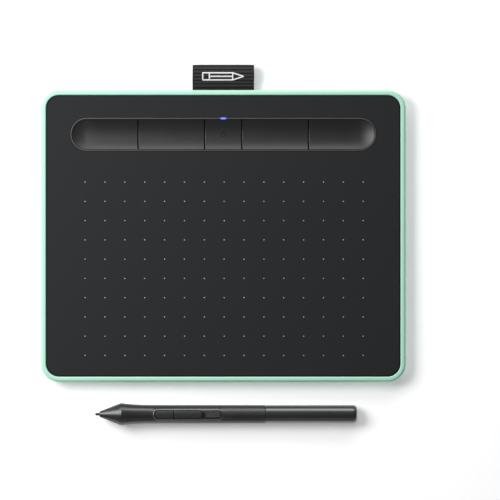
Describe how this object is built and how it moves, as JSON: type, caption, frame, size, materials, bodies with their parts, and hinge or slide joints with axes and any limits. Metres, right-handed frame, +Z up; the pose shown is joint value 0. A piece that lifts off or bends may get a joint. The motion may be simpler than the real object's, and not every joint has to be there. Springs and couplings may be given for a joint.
{
  "type": "pen tablet",
  "caption": "Small pen drawing tablet: mint case with a raised rim, black drawing surface, a dished row of keys, woven pen loop and battery-free pen with side buttons.",
  "frame": {"origin": "middle of the footprint of the tablet and the pen in front of it, at desk level", "axes": "+X to the user's right, +Y away from the user towards the keys and the pen loop, +Z up"},
  "size_m": [0.2, 0.198, 0.0122],
  "materials": {
    "mint_plastic": "satin",
    "cover_plastic": "satin",
    "drawing_film": "fine matte texture",
    "key_plastic": "satin",
    "light_window": "clear, lit blue",
    "woven_ribbon": "ribbed weave",
    "foot_rubber": "matte",
    "screw_steel": "zinc plated",
    "circuit_board": "solder mask",
    "switch_metal": "satin",
    "chip_resin": "moulded resin",
    "led_resin": "clear resin",
    "socket_steel": "tin plated",
    "insulator": "satin",
    "shield_metal": "rolled sheet",
    "flex_film": "polyimide film",
    "battery_foil": "laminated pouch",
    "lead_insulation": "smooth",
    "connector_plastic": "satin",
    "nib_polymer": "fine matte",
    "pen_plastic": "satin, soft touch",
    "pen_gloss": "semi-gloss",
    "bezel_plastic": "semi-gloss",
    "button_plastic": "satin",
    "ferrite": "sintered",
    "coil_copper": "enamelled wire"
  },
  "bodies": {
    "tablet": {"rear_cover": "mint_plastic", "top_cover": "cover_plastic", "key_surround": "cover_plastic", "loop_clamp_bar": "cover_plastic", "surface_sheet": "drawing_film", "light_guide": "light_window", "pen_loop": "woven_ribbon", "foot_front_left": "foot_rubber", "foot_front_right": "foot_rubber", "foot_rear_left": "foot_rubber", "foot_rear_right": "foot_rubber", "case_screws": "screw_steel", "board_screws": "screw_steel", "control_board": "circuit_board", "digitizer_board": "circuit_board", "key_switches": "switch_metal", "processor_chip": "chip_resin", "radio_module": "chip_resin", "status_led": "led_resin", "usb_socket_shell": "socket_steel", "usb_socket_insert": "insulator", "shield_plate": "shield_metal", "sensor_flex": "flex_film", "battery_cell": "battery_foil", "battery_lead": "lead_insulation", "battery_connector": "connector_plastic"},
    "pen": {"nose_cone": "pen_plastic", "front_barrel": "pen_plastic", "button_bezel": "bezel_plastic", "core_carrier": "insulator", "pen_board": "circuit_board", "side_switches": "switch_metal", "pressure_sensor": "chip_resin", "ferrite_core": "ferrite", "resonance_coil": "coil_copper", "nib_holder": "insulator", "spare_nibs": "nib_polymer"},
    "pen_nib": {"nib": "nib_polymer", "nib_chuck": "insulator"},
    "pen_button_front": {"side_button_front": "button_plastic"},
    "pen_button_rear": {"side_button_rear": "button_plastic"},
    "pen_rear": {"rear_barrel": "pen_gloss", "end_cap": "pen_gloss"},
    "express_key_1_body": {"express_key_1": "key_plastic"},
    "express_key_2_body": {"express_key_2": "key_plastic"},
    "power_key_body": {"power_key": "key_plastic"},
    "express_key_3_body": {"express_key_3": "key_plastic"},
    "express_key_4_body": {"express_key_4": "key_plastic"}
  },
  "joints": [
    {"name": "express_key_1_press", "type": "slide", "parent": "tablet", "child": "express_key_1_body", "axis": [0, 0, -1], "range_m": [0, 0.0005], "stiffness_N_per_m": 1500, "springref_m": -0.0002},
    {"name": "express_key_2_press", "type": "slide", "parent": "tablet", "child": "express_key_2_body", "axis": [0, 0, -1], "range_m": [0, 0.0005], "stiffness_N_per_m": 1500, "springref_m": -0.0002},
    {"name": "power_key_press", "type": "slide", "parent": "tablet", "child": "power_key_body", "axis": [0, 0, -1], "range_m": [0, 0.0005], "stiffness_N_per_m": 1500, "springref_m": -0.0002},
    {"name": "express_key_3_press", "type": "slide", "parent": "tablet", "child": "express_key_3_body", "axis": [0, 0, -1], "range_m": [0, 0.0005], "stiffness_N_per_m": 1500, "springref_m": -0.0002},
    {"name": "express_key_4_press", "type": "slide", "parent": "tablet", "child": "express_key_4_body", "axis": [0, 0, -1], "range_m": [0, 0.0005], "stiffness_N_per_m": 1500, "springref_m": -0.0002},
    {"name": "pen_lift", "type": "slide", "parent": "tablet", "child": "pen", "axis": [0, 0, 1], "range_m": [0, 0.1]},
    {"name": "nib_press", "type": "slide", "parent": "pen", "child": "pen_nib", "axis": [1, 0, -0.0087], "range_m": [0, 0.0003], "stiffness_N_per_m": 2000, "springref_m": -0.0002},
    {"name": "side_button_front_press", "type": "slide", "parent": "pen", "child": "pen_button_front", "axis": [-0.0087, 0, -1], "range_m": [0, 0.00035], "stiffness_N_per_m": 1500, "springref_m": -0.0002},
    {"name": "side_button_rear_press", "type": "slide", "parent": "pen", "child": "pen_button_rear", "axis": [-0.0087, 0, -1], "range_m": [0, 0.00035], "stiffness_N_per_m": 1500, "springref_m": -0.0002},
    {"name": "pen_rear_pull", "type": "slide", "parent": "pen", "child": "pen_rear", "axis": [1, 0, -0.0087], "range_m": [0, 0.05]}
  ]
}
